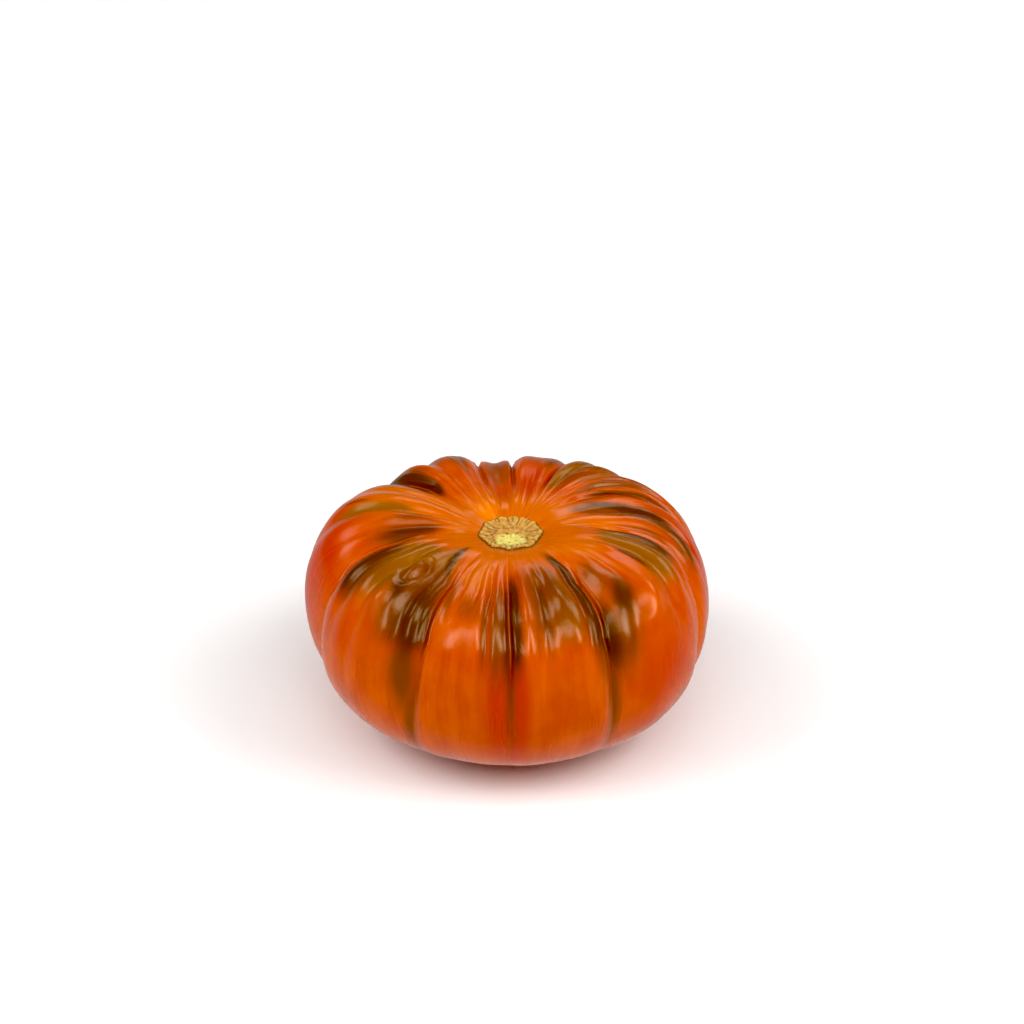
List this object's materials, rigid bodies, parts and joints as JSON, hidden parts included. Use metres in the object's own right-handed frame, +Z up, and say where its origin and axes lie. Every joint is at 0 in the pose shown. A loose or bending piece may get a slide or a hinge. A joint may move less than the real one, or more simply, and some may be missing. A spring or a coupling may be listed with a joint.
{
  "type": "tomato",
  "caption": "Ripe ribbed heirloom tomato with rounded lobes, deep grooves, a corky stem scar in a shallow hollow and a small flat spot to rest on.",
  "frame": {"origin": "middle of the fruit's outline seen from above, on the surface that it rests on", "axes": "+Z up, from the flat resting spot towards the stem scar; -Y is the side that faces the picture's camera"},
  "size_m": [0.0926, 0.0902, 0.0492],
  "materials": {
    "skin": "smooth waxy tomato skin, orange-red with brown and olive streaks on the shoulders, soft gloss",
    "stem_scar": "dry pale tan cork with fine radial cracks and dark specks, matte"
  },
  "bodies": {
    "root": {"tomato": "skin"}
  },
  "joints": []
}
